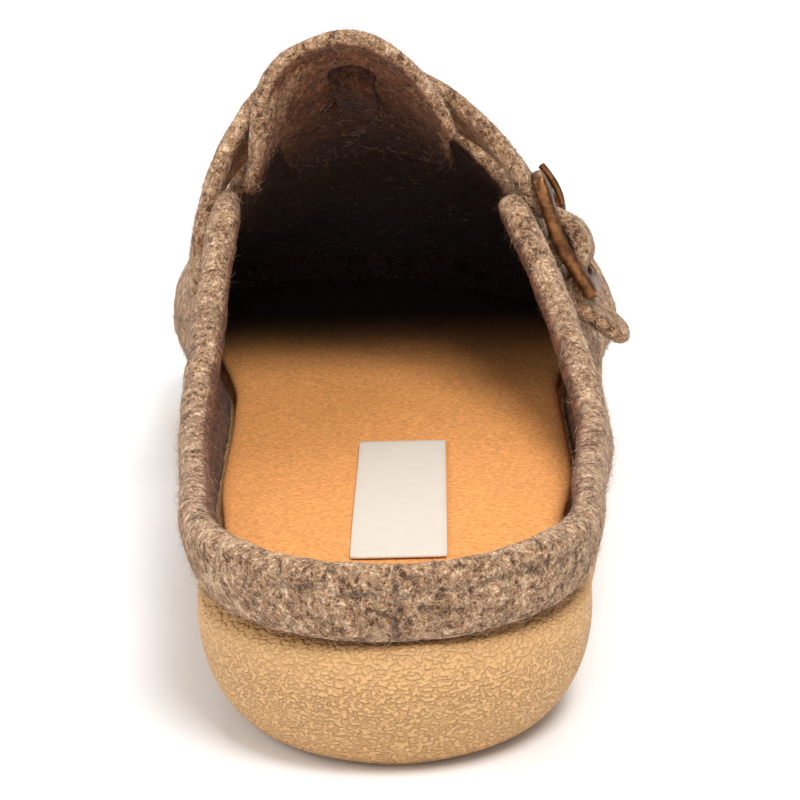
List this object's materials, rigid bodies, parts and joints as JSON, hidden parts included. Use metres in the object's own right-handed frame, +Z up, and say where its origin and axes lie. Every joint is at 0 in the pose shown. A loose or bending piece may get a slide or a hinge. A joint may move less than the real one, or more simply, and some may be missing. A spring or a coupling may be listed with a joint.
{
  "type": "felt clog slipper",
  "caption": "Right-foot felt clog slipper with an open back, a buckled instep strap, a tongue and a moulded sole.",
  "frame": {"origin": "middle of the bounding box on the floor, under the sole", "axes": "+Y towards the toe, +X to the outer side of the right foot, +Z up"},
  "size_m": [0.106, 0.2708, 0.1086],
  "materials": {
    "sole": "matt natural crepe with a fine pebble grain",
    "felt": "mottled beige and brown wool felt",
    "suede": "napped tan suede",
    "woven": "plain woven ribbon",
    "bronze": "dark bronze with worn edges"
  },
  "bodies": {
    "root": {"outsole": "sole", "upper": "felt", "tongue": "felt", "insole": "suede", "insole_label": "woven", "instep_strap": "felt", "buckle_frame": "bronze", "buckle_pin": "bronze", "buckle_prong": "bronze", "buckle_loop_rear": "felt", "buckle_loop_front": "felt"}
  },
  "joints": []
}
